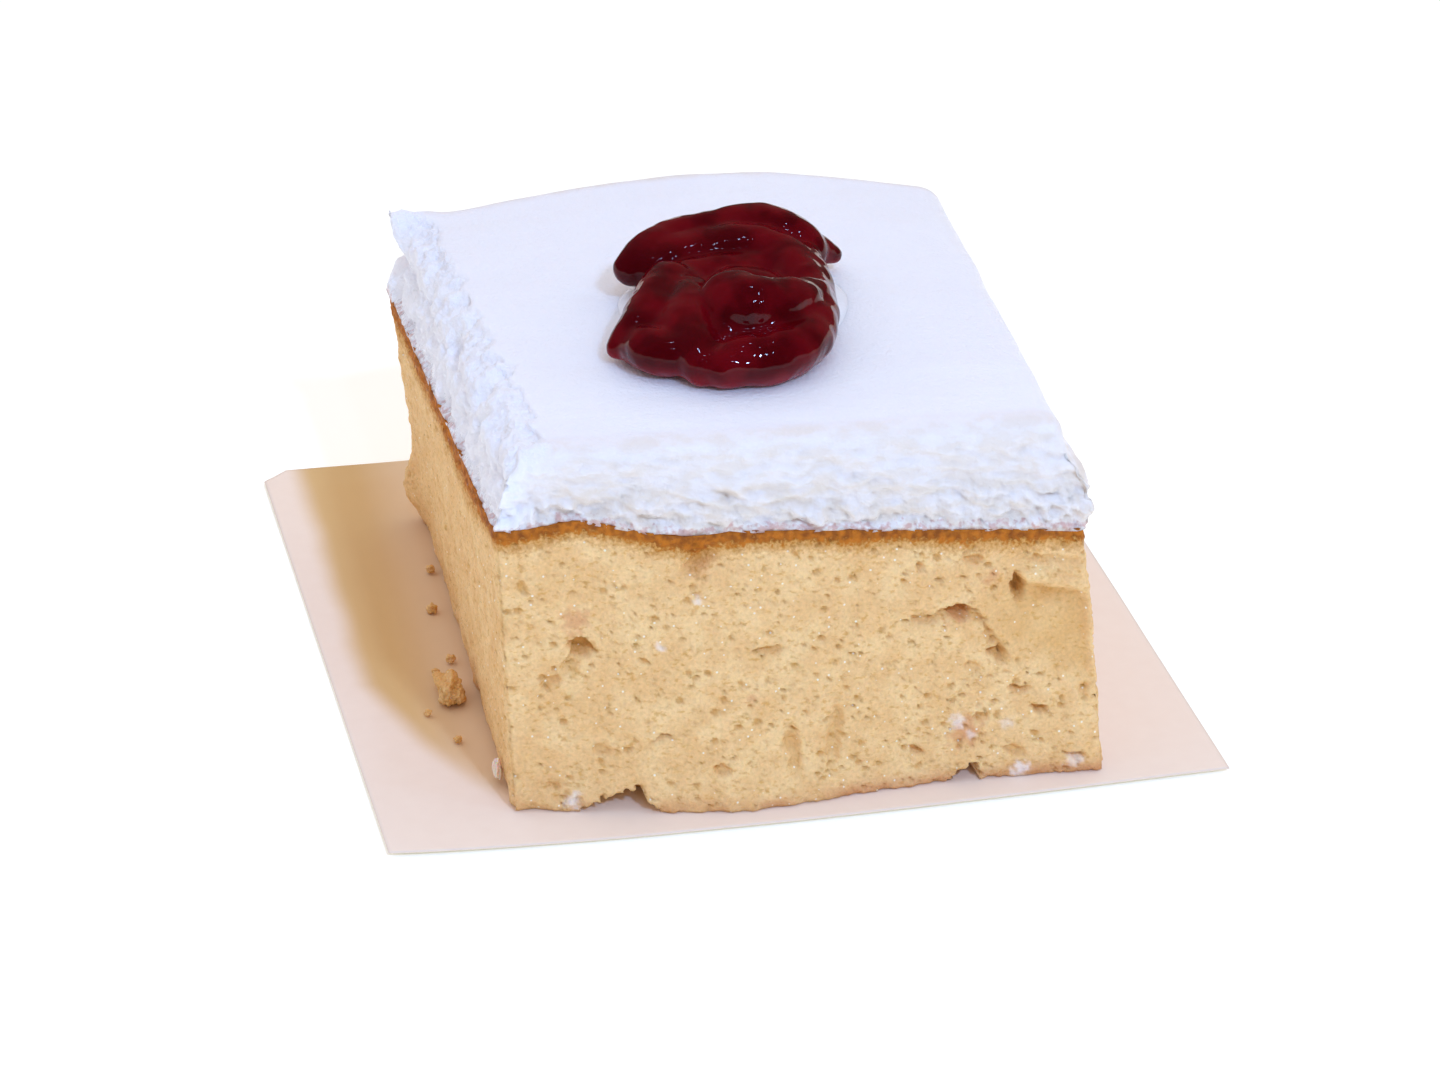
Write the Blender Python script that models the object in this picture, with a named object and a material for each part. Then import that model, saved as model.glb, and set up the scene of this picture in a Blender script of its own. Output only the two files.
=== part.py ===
"""Milk cake: one cut portion of golden sponge with a browned top skin, a thick layer of whipped cream,
and a spoonful of dark jam folded over a flat dollop of cream, standing on its square sheet of paper.

Frame: the origin is the middle of the paper's underside, +Z is up and the cut front face looks to -Y.
The named sizes are millimetres, and metres() turns them into the scene's metres.
"""
import math

import bmesh
import bpy
from mathutils import Matrix, Vector, noise

MM = 0.001
GAP = 0.3

PAPER_HALF_WIDTH = 60.0
PAPER_HALF_DEPTH = 58.7
PAPER_THICK = 0.3
PAPER_CORNERS = ((-52.4, -56.8), (57.3, -54.9), (PAPER_HALF_WIDTH, PAPER_HALF_DEPTH), (-PAPER_HALF_WIDTH, 53.0))
PAPER_TORN_CORNER = (-51.3, 58.1)
PAPER_EDGE_BULGE = 4.4
PAPER_EDGE_STEPS = 14

SPONGE_BASE = PAPER_THICK + GAP
SPONGE_BOTTOM = ((-36.0, -50.0), (40.9, -53.0), (41.2, 34.8), (-37.1, 34.6))
SPONGE_TOP = ((-37.8, -48.4), (36.3, -50.3), (40.2, 34.3), (-41.6, 34.7))
CRUST_HEIGHTS = (39.1, 34.6, 36.5, 36.9)
SPONGE_CELLS = (22, 24, 13)
FRONT_SAG = 4.0
BACK_BULGE = 4.6
SPONGE_EDGE_ROUND = 0.9
SPONGE_RELIEF = 0.35

CREAM_TOP = ((-36.6, -49.0), (32.9, -49.4), (39.7, 33.6), (-39.8, 34.2))
CREAM_HEIGHTS = (49.6, 49.4, 49.5, 48.6)
CREAM_CELLS = (24, 26, 6)
CREAM_DOME = 2.9
CREAM_INSET = 0.4
CREAM_EDGE_ROUND = 2.4
CREAM_LEFT_ROUND = 4.6
CREAM_SIDE_BULGE = 1.9
HORN_LIFT = 3.9
UNDERSIDE_CELLS = (10, 12, 1)

DOLLOP_CENTRE = (-0.3, -10.4)
DOLLOP_RADIUS = 15.2
DOLLOP_FOOT = 50.2
DOLLOP_HEIGHT = 3.0

JAM_FOOT = 50.8
JAM_VOXEL = 0.55
JAM_STEP = 0.9
JAM_FACES_KEPT = 0.1


def metres(x, y, z):
    return Vector((x, y, z)) * MM


def mix(start, end, share):
    return start + (end - start) * share


def bump(value, centre, width):
    """A smooth hill of height 1 at the centre."""
    return math.exp(-((value - centre) / width) ** 2)


def bilinear(corners, u, v):
    """A point between four corners given front left, front right, back right, back left."""
    front_left, front_right, back_right, back_left = corners
    return mix(mix(front_left, front_right, u), mix(back_left, back_right, u), v)


def corner_point(corners, u, v):
    return tuple(bilinear([corner[axis] for corner in corners], u, v) for axis in (0, 1))


def linear_colour(hex_colour):
    channels = [int(hex_colour[i:i + 2], 16) / 255 for i in (1, 3, 5)]
    return [c / 12.92 if c <= 0.04045 else ((c + 0.055) / 1.055) ** 2.4 for c in channels] + [1.0]


def make_material(name, hex_colour, roughness, subsurface=0.0):
    material = bpy.data.materials.new(name)
    material.use_nodes = True
    shader = material.node_tree.nodes["Principled BSDF"]
    shader.inputs["Base Color"].default_value = linear_colour(hex_colour)
    shader.inputs["Roughness"].default_value = roughness
    shader.inputs["Metallic"].default_value = 0.0
    shader.inputs["Subsurface Weight"].default_value = subsurface
    return material


def add_object(name, bm, material=None):
    bmesh.ops.recalc_face_normals(bm, faces=bm.faces)
    mesh = bpy.data.meshes.new(name)
    bm.to_mesh(mesh)
    bm.free()
    obj = bpy.data.objects.new(name, mesh)
    bpy.context.scene.collection.objects.link(obj)
    if material:
        mesh.materials.append(material)
    mesh.shade_smooth()
    return obj


def hide_cutter(obj):
    obj.hide_render = True
    obj.display_type = "WIRE"


def cut_away(obj, cutters):
    """Each cutter is taken out of the object by its own Boolean."""
    for cutter in cutters:
        hide_cutter(cutter)
        cut = obj.modifiers.new("cut " + cutter.name, "BOOLEAN")
        cut.operation = "DIFFERENCE"
        cut.solver = "EXACT"
        cut.object = cutter


def grid_block(cells):
    """A unit cube whose faces are cut into cells, closer together towards its edges."""
    bm = bmesh.new()
    bmesh.ops.create_cube(bm, size=1.0, matrix=Matrix.Translation((0.5, 0.5, 0.5)))
    for axis, count in enumerate(cells):
        normal = Vector([1.0 if i == axis else 0.0 for i in range(3)])
        for step in range(1, count):
            even = step / count
            place = mix(even, 0.5 - 0.5 * math.cos(math.pi * even), 0.45)
            everything = bm.verts[:] + bm.edges[:] + bm.faces[:]
            bmesh.ops.bisect_plane(bm, geom=everything, dist=1e-6, plane_co=normal * place, plane_no=normal)
    return bm


def outward(u, v):
    """The level direction out of the block at a side or a corner of its plan."""
    x = (u > 0.999) - (u < 0.001)
    y = (v > 0.999) - (v < 0.001)
    length = math.hypot(x, y)
    return (x / length, y / length) if length else (0.0, 0.0)


def crust_height(x, y):
    """The browned top skin of the sponge, which dips and lifts along the front cut."""
    across = (x + 38.0) / 75.0
    back = (y + 49.0) / 84.0
    lift = 1.5 * bump(x, -27.5, 5.5)
    dip = 0.7 * bump(x, -15.0, 5.0)
    return bilinear(CRUST_HEIGHTS, across, back) + (lift - dip) * bump(y, -49.0, 12.0)


def sponge_point(u, v, w):
    bottom = corner_point(SPONGE_BOTTOM, u, v)
    top = corner_point(SPONGE_TOP, u, v)
    x = mix(bottom[0], top[0], w)
    y = mix(bottom[1], top[1], w)
    y -= FRONT_SAG * bump(x, -8.0, 18.0) * (1 - v) ** 3 * (1 - w) ** 1.3
    y += BACK_BULGE * math.sin(math.pi * u) * v ** 3
    z = mix(SPONGE_BASE, crust_height(x, y), w)
    out_x, out_y = outward(u, v)
    rough = SPONGE_RELIEF * noise.noise(Vector((x, y, z)) / 6.0)
    rough += 0.6 * SPONGE_RELIEF * noise.noise(Vector((x, y, z)) / 2.6)
    if out_x and out_y:
        rough -= SPONGE_EDGE_ROUND
    if w < 0.001:
        rough -= SPONGE_EDGE_ROUND * 0.6
    x += out_x * rough
    y += out_y * rough
    x -= 2.4 * (1 - u) ** 8 * bump(y, 34.0, 5.0) * bump(z, 6.0, 4.5)
    return x, y, z


def build_sponge(material):
    bm = grid_block(SPONGE_CELLS)
    for vert in bm.verts:
        vert.co = metres(*sponge_point(*vert.co))
    sponge = add_object("sponge", bm, material)
    cut_away(sponge, [make_tear(*tear) for tear in sponge_tears()])
    return sponge


def sponge_tears():
    """Name, centre, radii and turn about Y in degrees of each hollow torn out of the cut faces."""
    return (
        ("tear_under_flap", (32.6, -51.8, 27.9), (6.4, 4.6, 2.5), 16.0),
        ("tear_smooth_patch", (36.5, -57.6, 22.0), (13.0, 8.2, 6.6), 18.0),
        ("tear_crack", (21.5, -50.9, 21.6), (6.6, 2.2, 1.5), 32.0),
        ("tear_hole", (-27.4, -50.6, 22.8), (1.7, 2.8, 2.2), 20.0),
        ("tear_hole_tail", (-30.6, -50.0, 19.2), (2.4, 1.4, 0.9), -40.0),
        ("tear_crevice_left", (-0.6, -54.0, 7.8), (1.2, 2.8, 4.2), -8.0),
        ("tear_crevice_right", (4.6, -53.2, 9.4), (0.9, 2.4, 4.4), 6.0),
        ("tear_oval", (31.8, -52.4, 10.2), (1.3, 2.2, 0.7), 8.0),
        ("notch_left", (-21.8, -54.2, 0.2), (4.9, 6.4, 2.8), -14.0),
        ("notch_right", (22.2, -54.6, 0.5), (2.0, 5.0, 2.2), -20.0),
    )


def make_tear(name, centre, radii, turn):
    bm = bmesh.new()
    bmesh.ops.create_icosphere(bm, subdivisions=2, radius=1.0)
    for vert in bm.verts:
        vert.co *= 1.0 + 0.22 * noise.noise(vert.co * 1.7 + Vector(centre))
    shape = Matrix.Diagonal((*radii, 1.0))
    place = Matrix.Translation(centre) @ Matrix.Rotation(math.radians(turn), 4, "Y")
    bmesh.ops.transform(bm, matrix=Matrix.Scale(MM, 4) @ place @ shape, verts=bm.verts)
    return add_object(name, bm)


def cream_surface(u, v):
    """Height of the cream's top before its edges turn down."""
    swell = math.sin(math.pi * u ** 1.25) * (1 - (1 - v) ** 1.35)
    return bilinear(CREAM_HEIGHTS, u, v) + CREAM_DOME * swell


def turn_down(distance, radius):
    """How far a rounded edge drops at a distance in from the side."""
    if distance >= radius:
        return 0.0
    return radius - math.sqrt(radius ** 2 - (radius - distance) ** 2)


def cream_point(u, v, w, lift=0.0):
    """A point of the cream, whose left side is broken and crumbly and whose right side swells."""
    bottom = corner_point(SPONGE_TOP, u, v)
    top = corner_point(CREAM_TOP, u, v)
    out_x, out_y = outward(u, v)
    x = mix(bottom[0], top[0], w) - out_x * CREAM_INSET
    y = mix(bottom[1], top[1], w) - out_y * CREAM_INSET + BACK_BULGE * math.sin(math.pi * u) * v ** 3
    width = CREAM_TOP[1][0] - CREAM_TOP[0][0]
    depth = CREAM_TOP[3][1] - CREAM_TOP[0][1]
    drop = turn_down(u * width, CREAM_LEFT_ROUND)
    drop += turn_down((1 - u) * width, CREAM_EDGE_ROUND)
    drop += turn_down(min(v, 1 - v) * depth, CREAM_EDGE_ROUND)
    surface = cream_surface(u, v) - 0.8 * min(drop, CREAM_LEFT_ROUND)
    left = max(0.0, (0.1 - u) / 0.1)
    surface += HORN_LIFT * left * bump(v, 1.0, 0.05)
    base = crust_height(x, y) + GAP
    z = mix(base, surface, w) + lift
    belly = math.sin(math.pi * min(1.0, w * 1.15)) if w > 0.001 else 0.0
    right = max(0.0, (u - 0.9) / 0.1)
    x += CREAM_SIDE_BULGE * belly * right ** 2
    if 0.001 < w:
        y += out_y * 0.5 * noise.noise(Vector((x / 7.0, y / 7.0, z / 2.4)))
        x += out_x * 0.6 * noise.noise(Vector((x, y, z)) / 3.2)
        x += left * 1.5 * bump(y, -5.5, 4.0) * bump(z, 46.0, 2.6)
        x += left * 1.2 * bump(y, -25.0, 2.6) * bump(z, 46.5, 2.2)
        x -= left * horn_reach(v, w)
    return x, y, z


def horn_reach(v, w):
    """At the back left corner a thin horn stands out on top, with a bite and a lip under it."""
    at_corner = bump(v, 1.0, 0.06)
    return at_corner * (2.0 * bump(w, 1.0, 0.2) - 2.6 * bump(w, 0.6, 0.22) + 0.4 * bump(w, 0.15, 0.2))


def cream_block(cells, lift=0.0):
    bm = grid_block(cells)
    for vert in bm.verts:
        vert.co = metres(*cream_point(*vert.co, lift))
    return bm


def dollop_block(spread=0.0):
    """A low round cushion of cream with a soft rim, grown all round by the spread."""
    bm = bmesh.new()
    bmesh.ops.create_uvsphere(bm, u_segments=28, v_segments=12, radius=1.0)
    for vert in bm.verts:
        spoke = math.atan2(vert.co.y, vert.co.x)
        wobble = 1.0 + 0.03 * math.sin(2 * spoke + 0.6) + 0.02 * math.sin(5 * spoke)
        reach = (DOLLOP_RADIUS + spread) * wobble
        vert.co.x = DOLLOP_CENTRE[0] + vert.co.x * reach
        vert.co.y = DOLLOP_CENTRE[1] + vert.co.y * reach
        vert.co.z = DOLLOP_FOOT + vert.co.z * (DOLLOP_HEIGHT + spread)
        vert.co = metres(*vert.co)
    return bm


def jam_folds():
    """Each fold of the jam is a roll along points (x, y, height over JAM_FOOT, radius)."""
    return (
        ("back_roll", ((-13.5, -6.5, 4.0, 2.4), (-11.4, -5.2, 4.8, 3.3), (-7.2, -1.8, 5.2, 3.5),
                       (-2.2, -1.0, 5.5, 3.9), (3.7, 0.1, 5.6, 4.2), (8.7, -1.7, 5.2, 3.7),
                       (10.4, -4.6, 4.4, 2.9))),
        ("back_slope", ((-10.6, -6.6, 4.2, 3.4), (-5.8, -5.4, 4.5, 3.8), (-0.5, -4.4, 4.6, 4.2),
                        (4.5, -5.6, 4.6, 4.0), (6.8, -10.0, 4.3, 3.8), (7.6, -15.0, 3.8, 3.5))),
        ("back_right_lobe", ((11.8, -2.2, 4.0, 2.4), (15.0, -1.8, 2.8, 1.3))),
        ("left_lobe", ((-10.2, -14.2, 4.4, 3.4), (-13.5, -21.0, 3.5, 3.7), (-16.5, -24.3, 2.2, 2.9),
                       (-18.7, -25.2, 1.2, 1.6))),
        ("left_front", ((-16.7, -25.6, 1.8, 2.6), (-15.3, -28.8, 2.1, 3.0), (-13.3, -30.3, 2.2, 3.1))),
        ("middle_lobe", ((-8.2, -18.6, 4.4, 3.3), (-9.8, -25.2, 3.8, 3.6), (-9.9, -30.4, 2.6, 3.6),
                         (-9.5, -33.1, 1.8, 3.0))),
        ("front_lip", ((-7.3, -34.6, 1.8, 2.7), (-4.7, -34.1, 2.2, 3.3), (0.2, -33.3, 2.5, 3.5),
                       (4.7, -28.9, 2.8, 3.5), (7.5, -21.4, 3.2, 3.3), (8.6, -13.3, 3.6, 3.2),
                       (8.9, -7.3, 4.0, 3.1))),
        ("filling", ((4.0, -9.5, 2.2, 4.4), (-4.0, -10.0, 2.2, 4.6), (-8.0, -13.0, 2.2, 4.6),
                     (-11.0, -19.5, 1.8, 4.4), (-12.0, -26.5, 1.2, 4.2), (-5.5, -28.5, 2.4, 3.4),
                     (-1.0, -28.8, 2.6, 3.3), (3.6, -25.2, 2.6, 3.3), (3.5, -17.0, 1.8, 4.2),
                     (-1.5, -15.0, 2.4, 4.6), (-4.5, -20.5, 1.2, 4.6))),
        ("tongue", ((-4.1, -24.3, 6.2, 4.1), (-2.0, -26.0, 6.5, 4.3), (0.8, -25.7, 6.2, 4.0),
                    (3.9, -24.0, 5.6, 2.9), (6.7, -22.3, 5.0, 1.9), (8.8, -20.7, 4.5, 1.0))),
    )


def roll_points(points):
    """Even samples of a smooth curve through the points, each with its radius."""
    samples = []
    for index in range(len(points) - 1):
        around = [Vector(points[min(max(index + k, 0), len(points) - 1)]) for k in (-1, 0, 1, 2)]
        before, start, end, after = around
        steps = max(2, round((end - start).length / JAM_STEP))
        for step in range(steps):
            t = step / steps
            bend = (2 * start + (end - before) * t + (2 * before - 5 * start + 4 * end - after) * t ** 2
                    + (3 * start - before - 3 * end + after) * t ** 3)
            samples.append(bend * 0.5)
    samples.append(Vector(points[-1]))
    return samples


def jam_block():
    """All folds as chains of balls, which the remesh then fuses into one skin."""
    bm = bmesh.new()
    for _, points in jam_folds():
        for x, y, height, radius in roll_points(points):
            place = Matrix.Translation(metres(x, y, JAM_FOOT + height))
            bmesh.ops.create_icosphere(bm, subdivisions=2, radius=radius * MM, matrix=place)
    return bm


def build_jam(material):
    jam = add_object("jam", jam_block(), material)
    skin = jam.modifiers.new("one skin", "REMESH")
    skin.mode = "VOXEL"
    skin.voxel_size = JAM_VOXEL * MM
    soften = jam.modifiers.new("soften folds", "SMOOTH")
    soften.factor = 0.5
    soften.iterations = 4
    fewer = jam.modifiers.new("fewer faces", "DECIMATE")
    fewer.ratio = JAM_FACES_KEPT
    cut_away(jam, [add_object("cream_under_jam", cream_block(UNDERSIDE_CELLS, GAP)),
                   add_object("dollop_under_jam", dollop_block(GAP))])
    return jam


def build_dollop(material):
    dollop = add_object("cream_dollop", dollop_block(), material)
    cut_away(dollop, [add_object("cream_under_dollop", cream_block(UNDERSIDE_CELLS, GAP))])
    return dollop


def paper_outline():
    """The sheet's outline, its front edge bowed out and its back left corner torn off."""
    front_left, front_right, back_right, back_left = PAPER_CORNERS
    outline = []
    for step in range(PAPER_EDGE_STEPS):
        share = step / PAPER_EDGE_STEPS
        bow = PAPER_EDGE_BULGE * math.sin(math.pi * share) * (1 - share)
        ripple = 0.15 * math.sin(23.0 * share)
        outline.append((mix(front_left[0], front_right[0], share),
                        max(mix(front_left[1], front_right[1], share) - bow + ripple * share,
                            -PAPER_HALF_DEPTH)))
    for start, end in ((front_right, back_right), (back_right, PAPER_TORN_CORNER),
                       (PAPER_TORN_CORNER, back_left), (back_left, front_left)):
        steps = max(2, PAPER_EDGE_STEPS // 2)
        for step in range(steps):
            share = step / steps
            outline.append((mix(start[0], end[0], share), mix(start[1], end[1], share)))
    return outline


def build_paper(material):
    bm = bmesh.new()
    rim = [bm.verts.new(metres(x, y, 0.0)) for x, y in paper_outline()]
    sheet = bm.faces.new(rim)
    raised = bmesh.ops.extrude_face_region(bm, geom=[sheet])
    top = [item for item in raised["geom"] if isinstance(item, bmesh.types.BMVert)]
    bmesh.ops.translate(bm, vec=metres(0.0, 0.0, PAPER_THICK), verts=top)
    return add_object("paper_sheet", bm, material)


def lump(name, centre, radii, seed, material):
    """A small uneven morsel with a flat foot, lying on the paper."""
    bm = bmesh.new()
    bmesh.ops.create_icosphere(bm, subdivisions=2, radius=1.0)
    for vert in bm.verts:
        vert.co *= 1.0 + 0.45 * noise.noise(vert.co * 1.4 + Vector((seed, 0.0, 0.0)))
        vert.co.x = centre[0] + vert.co.x * radii[0]
        vert.co.y = centre[1] + vert.co.y * radii[1]
        vert.co.z = max(SPONGE_BASE, centre[2] + vert.co.z * radii[2])
        vert.co = metres(*vert.co)
    return add_object(name, bm, material)


def clear_scene():
    for obj in list(bpy.data.objects):
        bpy.data.objects.remove(obj, do_unlink=True)


def main():
    clear_scene()
    crumb = make_material("sponge crumb", "#dfbe90", 0.8)
    whipped_cream = make_material("whipped cream", "#e8e8f4", 0.55, 0.2)
    dark_jam = make_material("dark berry jam", "#4f0e17", 0.12)
    greaseproof = make_material("greaseproof paper", "#ecdcd2", 0.7)
    build_paper(greaseproof)
    build_sponge(crumb)
    add_object("cream_layer", cream_block(CREAM_CELLS), whipped_cream)
    build_dollop(whipped_cream)
    build_jam(dark_jam)
    lump("sponge_crumb_chunk", (-40.2, -20.2, 1.9), (1.9, 3.4, 1.6), 3.0, crumb)
    lump("cream_drip", (-37.9, -42.6, 2.4), (0.8, 1.7, 1.9), 7.0, whipped_cream)


main()
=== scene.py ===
"""Milk cake, dressed for its portrait: sponge crumb, whipped cream, glossy jam and greaseproof paper.

Lengths are millimetres in this file's named values, and metres() turns them into the scene's metres.
The cut front face of the cake looks to -Y and +Z is up.
"""
import math

import bmesh
import bpy
from mathutils import Matrix, Vector, noise


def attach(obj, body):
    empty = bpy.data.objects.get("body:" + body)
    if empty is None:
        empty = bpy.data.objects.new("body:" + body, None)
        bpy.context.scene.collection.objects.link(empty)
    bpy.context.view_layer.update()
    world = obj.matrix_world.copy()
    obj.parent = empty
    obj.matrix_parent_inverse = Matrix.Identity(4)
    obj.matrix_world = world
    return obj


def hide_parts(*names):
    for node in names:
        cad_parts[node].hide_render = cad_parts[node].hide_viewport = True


bl_info = {
    "name": "Milk Cake",
    "version": (1, 0, 0),
    "blender": (4, 5, 0),
    "location": "View3D > Sidebar > Milk Cake",
    "description": "Builds a cut portion of milk cake with cream and jam on its sheet of paper",
    "category": "Add Mesh",
}

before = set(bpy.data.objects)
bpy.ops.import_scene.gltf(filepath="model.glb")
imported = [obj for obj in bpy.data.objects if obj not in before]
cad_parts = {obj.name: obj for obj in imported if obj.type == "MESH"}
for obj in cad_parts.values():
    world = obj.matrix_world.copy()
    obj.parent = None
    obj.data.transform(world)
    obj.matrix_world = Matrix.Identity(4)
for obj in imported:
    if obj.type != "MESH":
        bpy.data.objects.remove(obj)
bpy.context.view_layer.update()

MM = 0.001

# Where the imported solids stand. Corners go front left, front right, back right, back left.
PAPER_THICK = 0.3
PAPER_CORNERS = ((-52.4, -56.8), (57.3, -54.9), (60.0, 58.7), (-60.0, 53.0))
PAPER_TORN_CORNER = (-51.3, 58.1)
PAPER_FRONT_BOW = 1.9
SPONGE_BASE = 0.6
SPONGE_BOTTOM = ((-36.0, -50.0), (40.9, -53.0), (41.2, 34.8), (-37.1, 34.6))
SPONGE_TOP = ((-37.8, -48.4), (36.3, -50.3), (40.2, 34.3), (-41.6, 34.7))
CRUST_HEIGHTS = (39.1, 34.6, 36.5, 36.9)
FRONT_SAG = 4.0
BACK_BULGE = 4.6
CREAM_TOP = ((-36.6, -49.0), (32.9, -49.4), (39.7, 33.6), (-39.8, 34.2))
CREAM_HEIGHTS = (49.6, 49.4, 49.5, 48.6)
CREAM_DOME = 2.9
CREAM_EDGE_ROUND = 3.2
CREAM_LEFT_ROUND = 4.6
CREAM_SIDE_BULGE = 1.9
HORN_LIFT = 3.9
DOLLOP_CENTRE = (-0.3, -10.4)
DOLLOP_RADIUS = 15.2
DOLLOP_FOOT = 50.2
JAM_FOOT = 50.8

# Rounded plan sizes, for distances from the edges.
SPONGE_WIDTH = 76.0
SPONGE_DEPTH = 84.0
CREAM_FRONT = -49.2
CREAM_DEPTH = 83.0
CREAM_WIDTH = 74.0

# The cream's top is smooth under the jam, which sinks in a little. The rim is where the smooth part ends.
CALM_CENTRE = (-0.3, -17.0)
CALM_RIM = (17.0, 25.0)
JAM_SINK = 0.25

# Shares of a block's side nearer to its end than this count as the end itself.
TINY = 0.0001

# Cells along each side of the sponge and of the cream, fine enough for their crumb and streaks.
# Each number of cells is given by its factors.
SPONGE_CELLS = {"front": (16, 15), "right": (12, 10), "back": (12, 10), "left": (14, 13), "rows": (12, 10)}
CREAM_CELLS = ((14, 14), (14, 14), (26,))
PAPER_CELLS = 200

# The photograph's viewing angle: degrees and millimetres.
CAMERA_PLACE = (-81.142, -367.644, 202.116)
CAMERA_AZIMUTH = 12.56
CAMERA_ELEVATION = 26.97
CAMERA_ROLL = -1.59
CAMERA_LENS = 75.0
CAMERA_SENSOR = 36.0

# The floor lies this far under the paper, in millimetres.
FLOOR_DROP = 0.2


def metres(x, y, z):
    return Vector((x, y, z)) * MM


def mix(start, end, share):
    return start + (end - start) * share


def clamp(value, low=0.0, high=1.0):
    return max(low, min(high, value))


def ease(value, low, high):
    """0 below low, 1 above high and a soft step between, also with low above high."""
    share = clamp((value - low) / (high - low))
    return share * share * (3 - 2 * share)


def bump(value, centre, width):
    """A smooth hill of height 1 at the centre."""
    return math.exp(-((value - centre) / width) ** 2)


def bilinear(corners, u, v):
    front_left, front_right, back_right, back_left = corners
    return mix(mix(front_left, front_right, u), mix(back_left, back_right, u), v)


def corner_point(corners, u, v):
    return tuple(bilinear([corner[axis] for corner in corners], u, v) for axis in (0, 1))


def wander(x, y, z, size, seed=0.0):
    """Smooth noise from -1 to 1 with lumps of about the given size."""
    return noise.noise(Vector((x / size + seed, y / size, z / size)))


def linear_colour(hex_colour):
    channels = [int(hex_colour[i:i + 2], 16) / 255 for i in (1, 3, 5)]
    return tuple(c / 12.92 if c <= 0.04045 else ((c + 0.055) / 1.055) ** 2.4 for c in channels) + (1.0,)


def per_metre(size_mm):
    """The texture scale that gives a pattern of that size on Object coordinates."""
    return 1000.0 / size_mm


def colour_setting(name, hex_colour, description):
    return bpy.props.FloatVectorProperty(
        name=name, description=description, subtype="COLOR", size=4, min=0.0, max=1.0,
        default=linear_colour(hex_colour))


def length_setting(name, length_mm, description):
    return bpy.props.FloatProperty(
        name=name, description=description, unit="LENGTH", min=0.0, default=length_mm * MM, precision=5)


class MilkCakeSponge(bpy.types.PropertyGroup):
    pore_depth: length_setting("Pore depth", 0.5, "Depth of the larger pores of the crumb")
    pore_size: length_setting("Pore spacing", 1.5, "Distance between the larger pores")
    edge_round: length_setting("Edge rounding", 1.1, "Radius of the upright cut edges")
    crust_thickness: length_setting("Crust thickness", 1.7, "Thickness of the browned top skin")
    crumb_light: colour_setting("Light crumb", "#f5ce94", "Crumb where it stands out")
    crumb_deep: colour_setting("Deep crumb", "#edc084", "Crumb between the lighter patches")
    # The pore colour is the crumb's amber tone and also stands for painted shade inside pores and tears.
    pore_colour: colour_setting("Pores", "#cf9434", "Inside of pores and tears")
    crust_colour: colour_setting("Crust", "#c67318", "Browned top skin")


class MilkCakeCream(bpy.types.PropertyGroup):
    streak_depth: length_setting("Streak depth", 1.4, "Depth of the streaks on the cut faces")
    crumble_depth: length_setting("Crumble depth", 1.15, "Depth of the broken left side")
    cream_colour: colour_setting("Cream", "#f5f5fd", "Spread whipped cream")
    dollop_height: length_setting("Dollop height", 3.0, "Height of the dollop under the jam")


class MilkCakeJam(bpy.types.PropertyGroup):
    voxel: length_setting("Skin voxel", 0.3, "Fineness of the jam's skin")
    ball_step: length_setting("Fold step", 0.45, "Distance between the balls that make a fold")
    lumpiness: length_setting("Lumpiness", 0.34, "Height of the soft lumps on the folds")
    body_colour: colour_setting("Jam", "#480208", "Thick dark jam")
    thin_colour: colour_setting("Thin jam", "#8c0d19", "Jam at its thin rims")


class MilkCakePaper(bpy.types.PropertyGroup):
    sheet_thickness: length_setting("Thickness", 0.12, "Thickness of the paper")
    ripple: length_setting("Ripple", 0.12, "Height of the waves along the paper's edges")
    paper_colour: colour_setting("Paper", "#f9e7d6", "Greaseproof paper")


class MilkCakeStage(bpy.types.PropertyGroup):
    floor_size: length_setting("Floor size", 12000.0, "Width of the pale floor")
    key_power: bpy.props.FloatProperty(
        name="Key power", description="Power of the small key light", unit="POWER", default=5.4)
    floor_colour: colour_setting("Floor", "#ffffff", "Plain pale floor")
    fill_colour: colour_setting("Fill", "#fff2e6", "Colour of the soft light from all round")


def deselect_all():
    for obj in bpy.context.selected_objects:
        obj.select_set(False)


def only(obj):
    """Makes the object the one that operators act on."""
    deselect_all()
    obj.select_set(True)
    bpy.context.view_layer.objects.active = obj


def select_in_edit(obj, parts, chosen):
    """In edit mode, selects the faces or edges that pass the test and nothing else."""
    bpy.ops.mesh.select_all(action="DESELECT")
    mesh = bmesh.from_edit_mesh(obj.data)
    for part in getattr(mesh, parts):
        if chosen(part):
            part.select_set(True)
    bmesh.update_edit_mesh(obj.data)


def face_at(axis, place):
    return lambda face: abs(face.calc_center_median()[axis] - place) < 1e-4


def edge_along(axis, side_axis=None, place=0.0):
    """A test for edges along one axis, on one side of the block if a side is given."""
    def chosen(edge):
        start, end = (vert.co for vert in edge.verts)
        along = abs(start[axis] - end[axis]) > 1e-6
        return along and (side_axis is None or abs(start[side_axis] - place) < 1e-4)
    return chosen


def unit_block(name, open_faces):
    """A cube from 0 to 1 without the faces given as (axis, place)."""
    deselect_all()
    bpy.ops.mesh.primitive_cube_add(size=1.0, location=(0.5, 0.5, 0.5))
    block = bpy.context.object
    block.name = name
    bpy.ops.object.transform_apply(location=True, rotation=False, scale=False)
    bpy.ops.object.mode_set(mode="EDIT")
    bpy.ops.mesh.select_mode(type="FACE")
    for axis, place in open_faces:
        select_in_edit(block, "faces", face_at(axis, place))
        bpy.ops.mesh.delete(type="ONLY_FACE")
    bpy.ops.mesh.select_mode(type="EDGE")
    return block


def cut_cells(block, factors, axis, side_axis=None, place=0.0):
    """Splits the edges along one axis by each factor in turn."""
    for factor in factors:
        select_in_edit(block, "edges", edge_along(axis, side_axis, place))
        bpy.ops.mesh.subdivide(number_cuts=factor - 1)


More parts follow.
